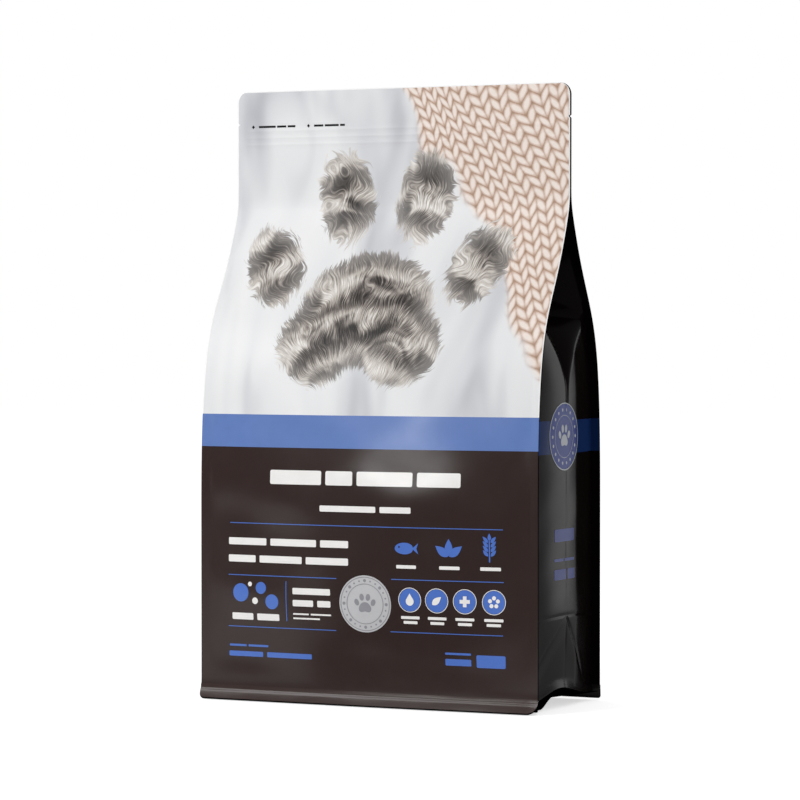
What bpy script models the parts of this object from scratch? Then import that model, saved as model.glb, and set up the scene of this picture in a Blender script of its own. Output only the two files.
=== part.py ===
"""Dry pet food bag: a flat-bottom pouch of laminated film, filled, sealed and standing on its base.

The pouch has a front and a back panel, two gusseted sides and a bottom panel. The panels are welded to
each other along fins that stand out from the four upright corners, and to the bottom panel along a hem
at the front and the back foot. The filled lower half is nearly square in plan. Above it the corner
seams lean together, the side gussets fold inwards, and the mouth is pressed flat and sealed.
The sealed, filled bag is one solid. Metres, +Z up, front towards -Y, origin under the middle of the base.
"""

import math

import bmesh
import bpy
from mathutils import Vector
from mathutils.geometry import delaunay_2d_cdt, interpolate_bezier

# Outline of the pouch, as its film is cut
film_width = 0.2100           # front panel from edge to edge
pouch_height = 0.3490         # foot to top edge, standing
gusset_width = 0.0900         # one side panel, seam to seam, laid flat
top_corner_radius = 0.0055    # rounded cut at the two upper corners
front_hem_radius = 0.0045     # rounded cut at the lower corners of the front hem
back_hem_radius = 0.0015      # and of the back hem

# Welded fins along the four upright corners
fin_width = 0.0050            # welded strip outside the seam
fin_thickness = 0.00045       # two plies of film

# Filled lower half
front_bow = 0.0065            # most that the front and back panels swell out
foot_bow = 0.0015             # swelling just above the hems
bow_start = 0.0100            # height where the swelling begins to grow
bow_full = 0.0900             # height where it is full
gusset_bow = 0.0032           # most that a side panel swells out
gusset_crown = 0.30           # where it does so, as a share of the way from its middle to the back seam
back_slope = 1.20             # power of the fall from there to the back seam, 1 being straight

# Shoulder, where the corner seams lean in to the flat mouth
shoulder_start = 0.1120       # height where the seams leave the vertical
shoulder_hold = 0.1258        # how long they hold to the vertical, as a curve handle
closing_angle = math.radians(19.2)   # lean of the seams where they meet the flat mouth
closing_length = 0.0786       # how long they keep that lean, as a curve handle
mouth_start = 0.2814          # height where the film lies flat
mouth_gap = 0.00100           # room for the folded gusset and the zip between the fins
mouth_lean = 0.0010           # the mouth stands this far behind the middle of the base
lean_start = 0.1000           # height where that lean begins

# Inward fold of a side gusset through the shoulder
fold_start = 0.1720           # height where the middle of the side panel begins to sink in
fold_end = 0.2320             # height where it is folded to its full depth
fold_opening = 1.80           # half width of the sinking valley, in depths
ridge_depth = 0.0004          # pressed crease up the middle of the side panel
ridge_half_width = 0.05       # of the half gusset, from the crease outwards

# Creases left in the foot of a side panel by folding the empty pouch
crease_height = 0.0510        # level crease, where the two slanting ones meet
crease_depth = 0.0004
crease_width = 0.0030         # from the crease to unbent film
back_slant = 0.71             # one runs this far back for each unit that it falls
front_slant = 1.39            # the other runs this far forward
foot_recess = 0.0013          # the panel falls in by this below the level crease
facet_recess = 0.0006         # and by this much more between the slanting ones
facet_span = 0.0200           # from a slanting crease to where that is reached

# Foot of the bag
seam_height = 0.0050          # corner of the bottom panel above the ground
arch_rise = 0.0065            # the bottom seam of a side panel arches up by this
arch_centre = -0.15           # where it does so, as a share of the half gusset behind its middle
arch_spread = 0.55            # how wide the arch is, as such a share
arch_fade = 0.0350            # height over which the arch dies out
side_flare = 0.0015           # the welded foot of a side panel stands out by this
flare_height = 0.0070         # height of that foot
base_inset = 0.0190           # from the seam to where the bottom panel rests on the ground
hem_height = 0.0085           # cut strip below the front and back panels
hem_kink_height = 0.0055      # height where it turns outwards
hem_kink_out = 0.0006         # how far it stands out at the kink
hem_foot_out = 0.0024         # how far it stands out at the ground
hem_thickness = 0.0009
hem_proud = 0.00020           # step from the panel out to the hem's face

# Reclosable zip inside the mouth, seen as pressed lines, and the tear notches
zip_below_top = 0.0230        # first line below the top edge
zip_pitch = 0.0040            # from line to line
zip_lines = 3
zip_relief = 0.0004
zip_line_width = 0.0014
notch_below_top = 0.0190
notch_depth = 0.0011
notch_height = 0.0016
cutter_overrun = 0.0010       # a cutter runs this far past what it cuts

# Colour fields of the printed film, by height
band_bottom = 0.1444
band_top = 0.1629

# Fineness of the mesh
panel_columns = 18            # across the front and the back
gusset_columns = 16           # across each side
gusset_gather = 1.40          # power that draws them towards the middle crease
shoulder_rings = 22
corner_rings = 4
base_rings = 4
tallest_ring_gap = 0.0130
least_ring_gap = 0.0004
least_column_gap = 0.0010
fill_tolerance = 1e-7

seam_half_depth = (gusset_width - 8 * gusset_bow ** 2 / (3 * gusset_width)) / 2
mouth_half_depth = fin_thickness + mouth_gap / 2
tip_x = film_width / 2
root_x = tip_x - fin_width


def blend(value, start, end):
    """0 before start, 1 after end, with a smooth ramp between."""
    share = min(max((value - start) / (end - start), 0.0), 1.0)
    return share * share * (3 - 2 * share)


def seam_curve(count):
    """Corner seam through the shoulder as (half depth, height) points."""
    foot = Vector((seam_half_depth, shoulder_start))
    mouth = Vector((mouth_half_depth, mouth_start))
    low_handle = foot + Vector((0, shoulder_hold))
    high_handle = mouth + closing_length * Vector((math.sin(closing_angle), -math.cos(closing_angle)))
    return interpolate_bezier(foot, low_handle, high_handle, mouth, count)


fine_seam = seam_curve(240)


def half_depth(height):
    """Half the distance between the front and back seams at a height."""
    if height <= shoulder_start:
        return seam_half_depth
    for lower, upper in zip(fine_seam, fine_seam[1:]):
        if height <= upper.y:
            share = (height - lower.y) / (upper.y - lower.y)
            return lower.x + share * (upper.x - lower.x)
    return mouth_half_depth


def panel_bow(height):
    """How far the middle of the front or back panel swells out at a height."""
    swell = foot_bow + (front_bow - foot_bow) * blend(height, bow_start, bow_full)
    return swell * (1 - blend(height, shoulder_start, mouth_start))


def zip_heights():
    """Heights of the closed zip's lines."""
    return [pouch_height - zip_below_top - line * zip_pitch for line in range(zip_lines)]


def zip_ridge(height):
    """Relief of the closed zip's lines through the film."""
    return zip_relief if any(abs(height - line) < zip_line_width / 4 for line in zip_heights()) else 0.0


def gusset_bulge(v):
    """Share of the side panel's swelling across it; v runs from -1 in front to 1 behind."""
    if v < gusset_crown:
        return 1 - ((gusset_crown - v) / (gusset_crown + 1)) ** 2
    return 1 - ((v - gusset_crown) / (1 - gusset_crown)) ** back_slope


def gusset_valley(v, height):
    """How far the inward fold of a side panel sinks below its lobes."""
    half_gusset = gusset_width / 2
    reach = math.sqrt(max(half_gusset ** 2 - half_depth(height) ** 2, 0.0))
    depth = reach * blend(height, fold_start, fold_end)
    half_width = min(1.0, ridge_half_width + fold_opening * depth / half_gusset)
    return (ridge_depth + depth) * max(0.0, 1 - abs(v) / half_width)


def foot_creases(v, height):
    """How far the creased foot of a side panel lies behind its smooth form."""
    from_crease = abs(height - crease_height)
    across = 1 - v ** 4
    sunk = crease_depth * max(0.0, 1 - from_crease / crease_width) * across
    fall = crease_height - height
    if fall <= 0:
        return sunk
    slant = back_slant if v > 0 else front_slant
    within = fall * slant - abs(v) * seam_half_depth
    return sunk + foot_recess * fall / crease_height * across + facet_recess * blend(within, 0, facet_span)


def gusset_x(v, height):
    """Distance of a side panel from the middle of the bag."""
    swell = gusset_bow * gusset_bulge(v) * (1 - blend(height, fold_start, fold_end))
    foot = max(0.0, 1 - (height - seam_height) / flare_height)
    out = swell + side_flare * foot * (1 - v ** 4)
    return root_x + out - gusset_valley(v, height) - foot_creases(v, height)


def gusset_z(v, height):
    """Height of a point of a side panel, whose lowest rings arch up towards its middle."""
    fade = max(0.0, 1 - (height - seam_height) / arch_fade)
    hump = math.exp(-((v - arch_centre) / arch_spread) ** 2) * (1 - v ** 8)
    return height + arch_rise * fade * hump


def spread(count):
    """Even steps from -1 to 1."""
    return [2 * step / count - 1 for step in range(count + 1)]


def gusset_steps():
    """Steps across a side panel, closest at its middle crease."""
    return [math.copysign(abs(v) ** gusset_gather, v) for v in spread(gusset_columns)]


def ring(height):
    """Closed outline of the bag at a height, as points running anticlockwise from the front left seam."""
    depth = half_depth(height)
    lean = mouth_lean * blend(height, lean_start, mouth_start)
    bow = panel_bow(height)
    ridge = zip_ridge(height)
    inner = depth - fin_thickness
    front = []
    for u in spread(panel_columns):
        out = bow * (1 - u * u) + (ridge if abs(u) < 1 else 0.0)
        front.append(Vector((u * root_x, -depth - out, height)))
    front_fin = [Vector((tip_x, -depth, height)), Vector((tip_x, -inner, height))]
    side = [Vector((gusset_x(v, height), v * inner, gusset_z(v, height))) for v in gusset_steps()]
    back_fin = [Vector((tip_x, inner, height)), Vector((tip_x, depth, height))]
    right = front_fin + side + back_fin
    back = [Vector((-point.x, -point.y, height)) for point in front]
    left = [Vector((-point.x, point.y, point.z)) for point in reversed(right)]
    below_top = pouch_height - height
    if below_top < top_corner_radius:
        rise = top_corner_radius - below_top
        edge = tip_x - top_corner_radius + math.sqrt(max(top_corner_radius ** 2 - rise ** 2, 0.0))
        narrow = edge / tip_x
    else:
        narrow = 1.0
    points = front + right + back + left
    return [Vector((point.x * narrow, point.y + lean, point.z)) for point in points]


def ring_heights():
    """Levels of the rings, close together where the bag bends or is creased."""
    heights = [seam_height, seam_height + flare_height, seam_height + 2 * flare_height]
    heights += [crease_height - crease_width, crease_height, crease_height + crease_width]
    heights += [point.y for point in seam_curve(shoulder_rings)]
    heights += [band_bottom, band_top]
    for line in zip_heights():
        heights += [line - zip_line_width / 2, line, line + zip_line_width / 2]
    for step in range(corner_rings + 1):
        turn = math.pi / 2 * step / corner_rings
        heights.append(pouch_height - top_corner_radius * (1 - math.sin(turn)))
    heights.sort()
    kept = heights[:1]
    for height in heights[1:]:
        gap = height - kept[-1]
        if gap > least_ring_gap:
            fill = math.ceil(gap / tallest_ring_gap)
            kept += [kept[-1] + gap * step / fill for step in range(1, fill + 1)]
    return kept


def base_ring(seam, share):
    """Ring of the sagging bottom panel, from the seam (share 0) in to the ground (share 1)."""
    narrow_x = 1 - share * base_inset / tip_x
    narrow_y = 1 - share * base_inset / seam_half_depth
    return [Vector((point.x * narrow_x, point.y * narrow_y, point.z * (1 - share) ** 2)) for point in seam]


def close_end(mesh, row, across):
    """Fill a flat end with sound triangles; across names the axis that the end faces."""
    flat = [Vector([value for axis, value in zip("xyz", vert.co) if axis != across]) for vert in row]
    turn = sum(here.cross(after) for here, after in zip(flat, flat[1:] + flat[:1]))
    order = list(range(len(row)))
    if turn < 0:
        order.reverse()
    filled = delaunay_2d_cdt(flat, [], [order], 1, fill_tolerance)
    for corners in filled[2]:
        mesh.faces.new([row[filled[3][corner][0]] for corner in corners])


def loft(mesh, rings, across):
    """Skin closed rings of equal length with quads, and close both ends."""
    rows = [[mesh.verts.new(point) for point in points] for points in rings]
    for lower, upper in zip(rows, rows[1:]):
        for here in range(len(lower)):
            after = (here + 1) % len(lower)
            mesh.faces.new((lower[here], lower[after], upper[after], upper[here]))
    close_end(mesh, rows[0], across)
    close_end(mesh, rows[-1], across)


def solid_object(name, mesh):
    """Turn a bmesh into an object whose faces point out."""
    bmesh.ops.triangulate(mesh, faces=mesh.faces)
    bmesh.ops.recalc_face_normals(mesh, faces=mesh.faces)
    data = bpy.data.meshes.new(name)
    mesh.to_mesh(data)
    mesh.free()
    made = bpy.data.objects.new(name, data)
    bpy.context.collection.objects.link(made)
    return made


def make_body():
    """Filled pouch without its hems."""
    seam = ring(seam_height)
    base = [base_ring(seam, 1 - step / base_rings) for step in range(base_rings)]
    mesh = bmesh.new()
    loft(mesh, base + [ring(height) for height in ring_heights()], "z")
    return solid_object("pet_food_bag", mesh)


def hem_columns(radius):
    """Places across a hem: the panel's columns, then closer ones round each cut corner."""
    inner = [u * root_x for u in spread(panel_columns)]
    corner = []
    for step in range(1, corner_rings + 1):
        turn = math.pi / 2 * step / corner_rings
        corner.append(tip_x - radius * (1 - math.sin(turn)))
    between = [x for x in inner if abs(x) < corner[0] - least_column_gap]
    return sorted([-x for x in corner] + between + corner)


def hem_foot(x, radius):
    """Height of a hem's cut edge, which is rounded at both ends."""
    past = abs(x) - (tip_x - radius)
    if past <= 0:
        return 0.0
    return radius - math.sqrt(max(radius ** 2 - past ** 2, 0.0))


def hem_out(height):
    """How far a hem's face stands out from the panel above it, at a height."""
    if height > hem_kink_height:
        share = (hem_height - height) / (hem_height - hem_kink_height)
        return hem_proud + hem_kink_out * share
    share = (hem_kink_height - height) / hem_kink_height
    return hem_proud + hem_kink_out + (hem_foot_out - hem_kink_out) * share


def make_hem(name, side, radius):
    """Welded strip at the foot of one panel; side is -1 for the front and 1 for the back."""
    mesh = bmesh.new()
    sections = []
    for x in hem_columns(radius):
        foot = hem_foot(x, radius)
        kink = max(hem_kink_height, foot)
        heights = [hem_height, (hem_height + kink) / 2, kink, (kink + foot) / 2, foot]
        u = min(abs(x) / root_x, 1.0)
        face = seam_half_depth + foot_bow * (1 - u * u)
        outer = [Vector((x, side * (face + hem_out(height)), height)) for height in heights]
        inner = [point - Vector((0, side * hem_thickness, 0)) for point in outer]
        sections.append(outer + inner[::-1])
    loft(mesh, sections, "x")
    return solid_object(name, mesh)


def make_notch(name, side):
    """Three-sided cutter for the tear notch in one pair of fins."""
    height = pouch_height - notch_below_top
    mouth_x = tip_x + cutter_overrun
    half_mouth = notch_height / 2 * (1 + cutter_overrun / notch_depth)
    reach = mouth_half_depth + mouth_lean + cutter_overrun
    sections = []
    for y in (-reach, reach):
        sections.append([
            Vector((side * (tip_x - notch_depth), y, height)),
            Vector((side * mouth_x, y, height + half_mouth)),
            Vector((side * mouth_x, y, height - half_mouth)),
        ])
    mesh = bmesh.new()
    loft(mesh, sections, "y")
    return solid_object(name, mesh)


def combine(body, tool, operation):
    """Join or cut the body with another solid, which is then used up."""
    step = body.modifiers.new(tool.name, "BOOLEAN")
    step.operation = operation
    step.solver = "EXACT"
    step.object = tool
    evaluated = body.evaluated_get(bpy.context.evaluated_depsgraph_get())
    result = bpy.data.meshes.new_from_object(evaluated)
    body.modifiers.clear()
    body.data = result
    bpy.data.objects.remove(tool, do_unlink=True)


def film(name, colour, roughness):
    """Matte laminated film in one printed colour."""
    material = bpy.data.materials.new(name)
    material.use_nodes = True
    surface = material.node_tree.nodes["Principled BSDF"]
    surface.inputs["Base Color"].default_value = (*colour, 1.0)
    surface.inputs["Roughness"].default_value = roughness
    surface.inputs["Metallic"].default_value = 0.0
    return material


def print_fields(bag):
    """Colour the film: dark foot and sides, a blue band all round, and a pale upper front."""
    bag.data.materials.clear()
    bag.data.materials.append(film("dark_brown_film", (0.042, 0.028, 0.026), 0.40))
    bag.data.materials.append(film("blue_film", (0.125, 0.223, 0.546), 0.42))
    bag.data.materials.append(film("pale_grey_film", (0.740, 0.740, 0.750), 0.45))
    for face in bag.data.polygons:
        middle = face.center
        if band_bottom < middle.z < band_top:
            face.material_index = 1
        elif middle.z > band_top and face.normal.y < -0.5:
            face.material_index = 2
        else:
            face.material_index = 0


def main():
    """Clear the scene and build the bag."""
    for old in list(bpy.data.objects):
        bpy.data.objects.remove(old, do_unlink=True)
    bag = make_body()
    combine(bag, make_hem("front_hem", -1, front_hem_radius), "UNION")
    combine(bag, make_hem("back_hem", 1, back_hem_radius), "UNION")
    combine(bag, make_notch("left_notch", -1), "DIFFERENCE")
    combine(bag, make_notch("right_notch", 1), "DIFFERENCE")
    print_fields(bag)
    bag.data.shade_smooth()
    bag.data.set_sharp_from_angle(angle=math.radians(30))


main()
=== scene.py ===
"""Dressed model of an upright, filled pouch of dry pet food.

It is laid out as a Blender add-on and run as a script. Each operator makes one piece or one group of like
pieces, in metres, with +Z up and the front panel towards -Y. The print on the film is plain shapes.
"""

import math

import bpy
import numpy as np
from bpy.props import FloatProperty, FloatVectorProperty, PointerProperty
from mathutils import Matrix, Vector
from mathutils.geometry import delaunay_2d_cdt


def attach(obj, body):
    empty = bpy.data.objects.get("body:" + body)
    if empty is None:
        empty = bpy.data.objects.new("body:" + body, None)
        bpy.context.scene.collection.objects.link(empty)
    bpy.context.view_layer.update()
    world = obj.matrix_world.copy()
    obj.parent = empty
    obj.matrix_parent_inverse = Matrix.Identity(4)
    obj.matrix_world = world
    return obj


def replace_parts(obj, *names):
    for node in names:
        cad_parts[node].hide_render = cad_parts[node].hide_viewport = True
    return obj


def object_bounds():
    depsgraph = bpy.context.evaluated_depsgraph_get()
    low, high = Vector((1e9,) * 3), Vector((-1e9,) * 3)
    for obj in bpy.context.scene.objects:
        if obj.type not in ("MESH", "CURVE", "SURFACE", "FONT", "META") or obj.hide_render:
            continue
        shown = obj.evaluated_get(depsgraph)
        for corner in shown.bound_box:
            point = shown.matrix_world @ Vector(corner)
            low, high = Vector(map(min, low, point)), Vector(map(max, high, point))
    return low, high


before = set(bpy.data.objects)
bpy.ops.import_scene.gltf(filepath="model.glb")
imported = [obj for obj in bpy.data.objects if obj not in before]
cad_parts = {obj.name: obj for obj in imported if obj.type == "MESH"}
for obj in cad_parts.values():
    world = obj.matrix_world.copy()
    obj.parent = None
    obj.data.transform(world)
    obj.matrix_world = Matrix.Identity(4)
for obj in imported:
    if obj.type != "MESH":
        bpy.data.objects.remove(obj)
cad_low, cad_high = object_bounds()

bl_info = {
    "name": "Pet food pouch",
    "version": (1, 0, 0),
    "blender": (4, 5, 0),
    "location": "3D View > Sidebar > Pouch",
    "description": "Builds a filled, printed flat-bottom pouch on a plain stage",
    "category": "Object",
}

MM = 0.001
BODY = "root"
NODE = "pet_food_bag"


def linear(code):
    """Linear colour of an sRGB hex code such as '6382C3'."""
    channels = [int(code[place:place + 2], 16) / 255 for place in (0, 2, 4)]
    return tuple(c / 12.92 if c <= 0.04045 else ((c + 0.055) / 1.055) ** 2.4 for c in channels)


def length(description, default):
    """A length that the user can set, in metres."""
    return FloatProperty(description=description, default=default, unit="LENGTH", precision=5)


def colour(description, code):
    """A colour that the user can set, with its default as an sRGB hex code."""
    return FloatVectorProperty(description=description, default=linear(code), subtype="COLOR", size=3,
                               min=0.0, max=1.0)


class PouchSizes(bpy.types.PropertyGroup):
    """Sizes of the pouch, from the same outline as its solid."""

    film_width: length("Front film from edge to edge", cad_high[0] - cad_low[0])
    height: length("Foot to top edge", cad_high[2] - cad_low[2])
    gusset_width: length("Side panel, seam to seam, laid flat", 0.0900)
    corner_radius: length("Rounded cut at the upper corners", 0.0068)
    fin_width: length("Welded strip outside each corner seam", 0.0050)
    fin_thickness: length("Two plies of film", 0.00045)
    front_bow: length("Most that the front and back panels swell out", 0.0065)
    foot_bow: length("Swelling just above the hems", 0.0015)
    gusset_bow: length("Most that a side panel swells out", 0.0032)
    shoulder_start: length("Height where the seams leave the vertical", 0.1120)
    mouth_start: length("Height where the film lies flat", 0.2814)
    fold_start: length("Height where the side panel begins to sink in", 0.1750)
    fold_end: length("Height where the side panel is fully folded", 0.2320)
    crease_height: length("Level crease low on the side panel", 0.0510)
    hem_height: length("Height of the cut strip at the foot", 0.0085)
    hem_kink: length("Height where the hem turns outwards", 0.0055)
    band_bottom: length("Lower edge of the blue band", 0.1444)
    band_top: length("Upper edge of the blue band", 0.1629)
    side_band_drop: length("The band sits this much lower on the sides", 0.0024)
    zip_below_top: length("First pressed line of the zip below the top edge", 0.0230)
    notch_below_top: length("Tear notch below the top edge", 0.0190)
    cell: length("Spacing of the skin's mesh", 0.0020)


class PouchColours(bpy.types.PropertyGroup):
    """Colours of the printed film, with painted light on the hems, painted shade on the bottom panel and a
    painted shadow line along the hems' foot.
    """

    brown: colour("Lower front and the back", "342826")
    black: colour("Sides", "090505")
    # Near-black with no gloss: painted shade for the dark under the side arches, darker than the side film
    bottom: colour("Bottom panel", "020202")
    blue: colour("Band across the front and back", "617DB8")
    side_blue: colour("Band across the sides", "12264F")
    edge: colour("Unprinted cut edge of the front film", "F2F2F2")
    # The hems' brown is the body's brown film made lighter and warmer: painted light where the flared hems
    # catch the light
    hem_brown_painted_light: colour("Outer ply of the hems", "3B2D2A")
    # Black film lightened to dark grey: painted light from the floor on the back hem's inner face, seen under
    # the side arch
    hem_grey_painted_light: colour("Inner ply of the back hem", "1A1717")
    # Near-black inner ply; the same colour along the foot of the front hem's face is a painted shadow line
    hem_inner_and_foot_shadow: colour("Inner ply of the front hem", "050505")
    white_ink: colour("Headings and lines", "EEECEA")
    blue_ink: colour("Marks and rules", "4F73C4")
    dark_ink: colour("Tear marks", "1B1B1D")
    silver: colour("Round seal", "C6C6C8")
    dull_silver: colour("Figures on the round seal", "94949A")
    badge_blue: colour("Round badge on the side", "293672")
    badge_pale: colour("Figures on the badge", "9DA2A8")
    side_line_blue: colour("Lines on the side", "333C70")


def ramp(value, start, end):
    """0 below start, 1 above end, with a smooth ramp between, for numbers and arrays."""
    share = np.clip((value - start) / (end - start), 0.0, 1.0)
    return share * share * (3 - 2 * share)


def ridge(value, middle, spread):
    """1 at the middle, falling off on both sides in a bell."""
    return np.exp(-((value - middle) / spread) ** 2)


def as_points(x, y, z):
    """Points from their coordinates, each an array or one number for all."""
    return np.column_stack(np.broadcast_arrays(x, y, z))


class Pouch:
    """The pouch's surfaces as formulas, in metres. A pair of heights is where something starts and ends."""

    lean = 0.0010                  # the mouth stands this far behind the middle of the base
    lean_start = 0.100
    mouth_gap = 0.0010
    seam_height = 0.0050
    seam_hold = 0.1258             # the seam's curve holds on this far above the shoulder's start
    seam_closing = 0.0786          # and this far below the mouth
    seam_angle = math.radians(19.2)  # lean of the seam where it comes in to the mouth
    seam_round_off = (0.040, 0.015)  # below the mouth, where the seam's bend is softened
    swell_in = (0.010, 0.090)
    filled = (0.008, 0.030)
    flattened = (0.215, 0.275)
    side_filled = (0.050, 0.075)
    side_flattened = (0.150, 0.200)
    back_offset = 0.020            # the back has the front's soft swells, mirrored and this much lower
    arch_rise = 0.0065
    arch_centre = -0.15
    arch_spread = 0.55
    arch_fade = 0.0350
    side_flare = 0.0010
    flare_height = 0.0080
    base_inset = 0.0120            # from the front and back seams to where the bottom meets the ground
    side_inset = (0.0060, 0.0480)  # the same from the side seams, at the front corner and further back
    side_inset_run = (-0.65, 0.60)  # where it grows, from -1 in front to 1 behind
    sag_rings = 13
    fin_slope = 0.06               # the front fins bend back by this much per metre of width
    toe_height = 0.0080
    hem_thickness = 0.0009
    hem_proud = 0.00004
    hem_kink_out = 0.0006
    pinch = (0.00008, 0.00068)     # depth of the pressed crease below and above where it starts to show
    pinch_run = (0.150, 0.180)
    groove_width = 0.06            # share of the side panel that the fold's first groove takes up
    groove_growth = 1.5
    hollow_walls = 1.4             # the fold's walls are hollow by this, and straight at straight_depth
    straight_depth = 0.038
    crease_width = 0.0008
    crease_hump = 0.0006           # the level crease stands this much higher at its middle
    level_depth = 0.00022
    slants = (0.71, 1.39)          # run of the rear and the front slanting crease per height
    slant_depths = (0.00040, 0.00012)
    slant_start = (0.0002, 0.0020)  # below the level crease
    slant_end = (0.026, 0.040)
    foot_sink = 0.0013             # how far the film at the foot lies in under the level crease
    facet_sink = 0.0003
    facet_run = 0.020
    notch_depth = 0.0011
    notch_height = 0.0016
    zip_pitch = 0.0040
    zip_lines = 3
    zip_relief = 0.00020
    zip_spread = 0.0008

    def __init__(self, sizes):
        """Read the user's sizes and work out what follows from them."""
        self.s = sizes
        bow = sizes.gusset_bow
        self.depth = (sizes.gusset_width - 8 * bow ** 2 / (3 * sizes.gusset_width)) / 2
        self.mouth_depth = sizes.fin_thickness + self.mouth_gap / 2
        self.tip_x = sizes.film_width / 2
        self.root_x = self.tip_x - sizes.fin_width
        seam = self.seam_points(600)
        self.levels = np.linspace(0, sizes.height, 700)
        sharp = np.interp(self.levels, seam[:, 1], seam[:, 0])
        reach = 23
        bell = np.hanning(2 * reach + 1)
        soft = np.convolve(np.pad(sharp, reach, mode="edge"), bell / bell.sum(), mode="valid")
        start, end = self.seam_round_off
        share = ramp(self.levels, sizes.mouth_start - start, sizes.mouth_start - end)
        self.depths = sharp + (soft - sharp) * share

    def seam_points(self, count):
        """Half depth and height along the corner seam through the shoulder, as a Bezier curve."""
        foot = np.array([self.depth, self.s.shoulder_start])
        mouth = np.array([self.mouth_depth, self.s.mouth_start])
        low = foot + np.array([0.0, self.seam_hold])
        high = mouth + self.seam_closing * np.array([math.sin(self.seam_angle), -math.cos(self.seam_angle)])
        t = np.linspace(0.0, 1.0, count)[:, None]
        return (1 - t) ** 3 * foot + 3 * (1 - t) ** 2 * t * low + 3 * (1 - t) * t ** 2 * high + t ** 3 * mouth

    def half_depth(self, z):
        """Half the distance between the front and back seams at a height."""
        return np.interp(z, self.levels, self.depths)

    def middle(self, z):
        """How far the bag's middle plane stands back at a height."""
        return self.lean * ramp(z, self.lean_start, self.s.mouth_start)

    def bow(self, z):
        """How far the middle of the front or back panel swells out."""
        s = self.s
        swell = s.foot_bow + (s.front_bow - s.foot_bow) * ramp(z, *self.swell_in)
        return swell * (1 - ramp(z, s.shoulder_start, s.mouth_start))

    def share(self, x):
        """Share of the way from the middle of the front to its corner seam."""
        return np.clip(np.abs(x) / self.root_x, 0.0, 1.0)

    def tip(self, z):
        """Half width at a height, less round the top corners and in the tear notches."""
        radius = self.s.corner_radius
        rise = np.clip(z - (self.s.height - radius), 0.0, radius)
        cut = radius - np.sqrt(radius ** 2 - rise ** 2)
        notch = np.abs(z - (self.s.height - self.s.notch_below_top))
        return self.tip_x - cut - self.notch_depth * np.clip(1 - 2 * notch / self.notch_height, 0.0, 1.0)

    def zip_levels(self):
        """Heights of the zip's pressed lines."""
        first = self.s.height - self.s.zip_below_top
        return [first - line * self.zip_pitch for line in range(self.zip_lines)]

    def undulation(self, x, z):
        """Soft swells of the filled film: slow waves of a height, a length and a slant across."""
        waves = ((0.42, 68, 1.2, 3.14), (0.10, 47, -13, 1.7), (0.12, 83, 17, 3.9), (0.05, 29, 9, 5.1))
        return self.waves(x, z, waves) * ramp(z, *self.filled) * (1 - ramp(z, *self.flattened))

    def side_undulation(self, v, z):
        """Soft swells of a side panel."""
        waves = ((0.08, 57, 6, 0.6), (0.04, 34, -14, 2.0))
        filled = ramp(z, *self.side_filled) * (1 - ramp(z, *self.side_flattened))
        return self.waves(v * self.depth, z, waves) * filled * (1 - v ** 4)

    @staticmethod
    def waves(across, z, waves):
        """Sum of waves, each with its height and length in millimetres, its slant and its phase."""
        total = 0.0
        for height, along, slant, phase in waves:
            total = total + height * MM * np.sin(2 * np.pi * (z / (along * MM) + across * slant) + phase)
        return total

    def relief(self, x, z):
        """Everything small that stands out of the front or back panel."""
        u = self.share(x)
        out = self.undulation(x, z) * (1 - u ** 24) * (1 + 0.6 * ramp(-x, 0.0, 0.09))
        for level in self.zip_levels():
            out = out + self.zip_relief * ridge(z, level, self.zip_spread) * (1 - u ** 30)
        toe = np.clip(1 - (z - self.seam_height) / self.toe_height, 0.0, 1.0)
        return out + self.hem_kink_out * toe ** 2

    def front_y(self, x, z):
        """Face of the front panel and its fins."""
        out = self.half_depth(z) + self.bow(z) * (1 - self.share(x) ** 2) + self.relief(x, z)
        return self.middle(z) - out + self.fin_slope * np.clip(np.abs(x) - self.root_x, 0.0, None)

    def back_y(self, x, z):
        """Face of the back panel and its fins."""
        out = self.half_depth(z) + self.bow(z) * (1 - self.share(x) ** 2)
        return self.middle(z) + out + self.relief(-x, z + self.back_offset)

    def bulge(self, v):
        """Share of the swelling across a side panel, which bends most a little behind its middle."""
        crown = 0.30
        front = 1 - (np.clip(crown - v, 0, None) / (1 + crown)) ** 2
        rear = np.clip((v - crown) / (1 - crown), 0, None) ** 1.2
        return front - rear

    def valley(self, v, z):
        """How far the inward fold of a side panel sinks below its two lobes, first as a narrow groove."""
        half = self.s.gusset_width / 2
        reach = np.sqrt(np.clip(half ** 2 - self.half_depth(z) ** 2, 0.0, None))
        depth = reach * ramp(z, self.s.fold_start, self.s.fold_end)
        width = np.minimum(1.0, self.groove_width + self.groove_growth * depth / half)
        hollow = 1 + self.hollow_walls * (1 - ramp(depth, 0.0, self.straight_depth))
        slope = np.clip(1 - np.sqrt(v * v + 0.0002) / width, 0.0, 1.0)
        faint, plain = self.pinch
        return (faint + (plain - faint) * ramp(z, *self.pinch_run) + depth) * slope ** hollow

    def foot_creases(self, v, z):
        """Creases left by folding the empty pouch: a level one, with two that slant down from its middle."""
        y = v * self.depth
        across = 1 - v ** 4
        level = self.s.crease_height + self.crease_hump * (1 - (v / 0.6) ** 2)
        fall = np.clip(level - z, 0.0, None)
        rear = self.slants[0] * fall - y
        front = self.slants[1] * fall + y
        shown = ramp(fall, *self.slant_start) * (1 - ramp(fall, *self.slant_end))
        sunk = self.level_depth * ridge(z, level, self.crease_width) * across
        sunk = sunk + self.foot_sink * fall / self.s.crease_height * across
        sunk = sunk + self.facet_sink * ramp(np.where(y > 0, rear, front), 0.0, self.facet_run)
        sunk = sunk + self.slant_depths[0] * shown * ridge(rear, 0.0, self.crease_width)
        return sunk + self.slant_depths[1] * shown * ridge(front, 0.0, 1.75 * self.crease_width)

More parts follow.
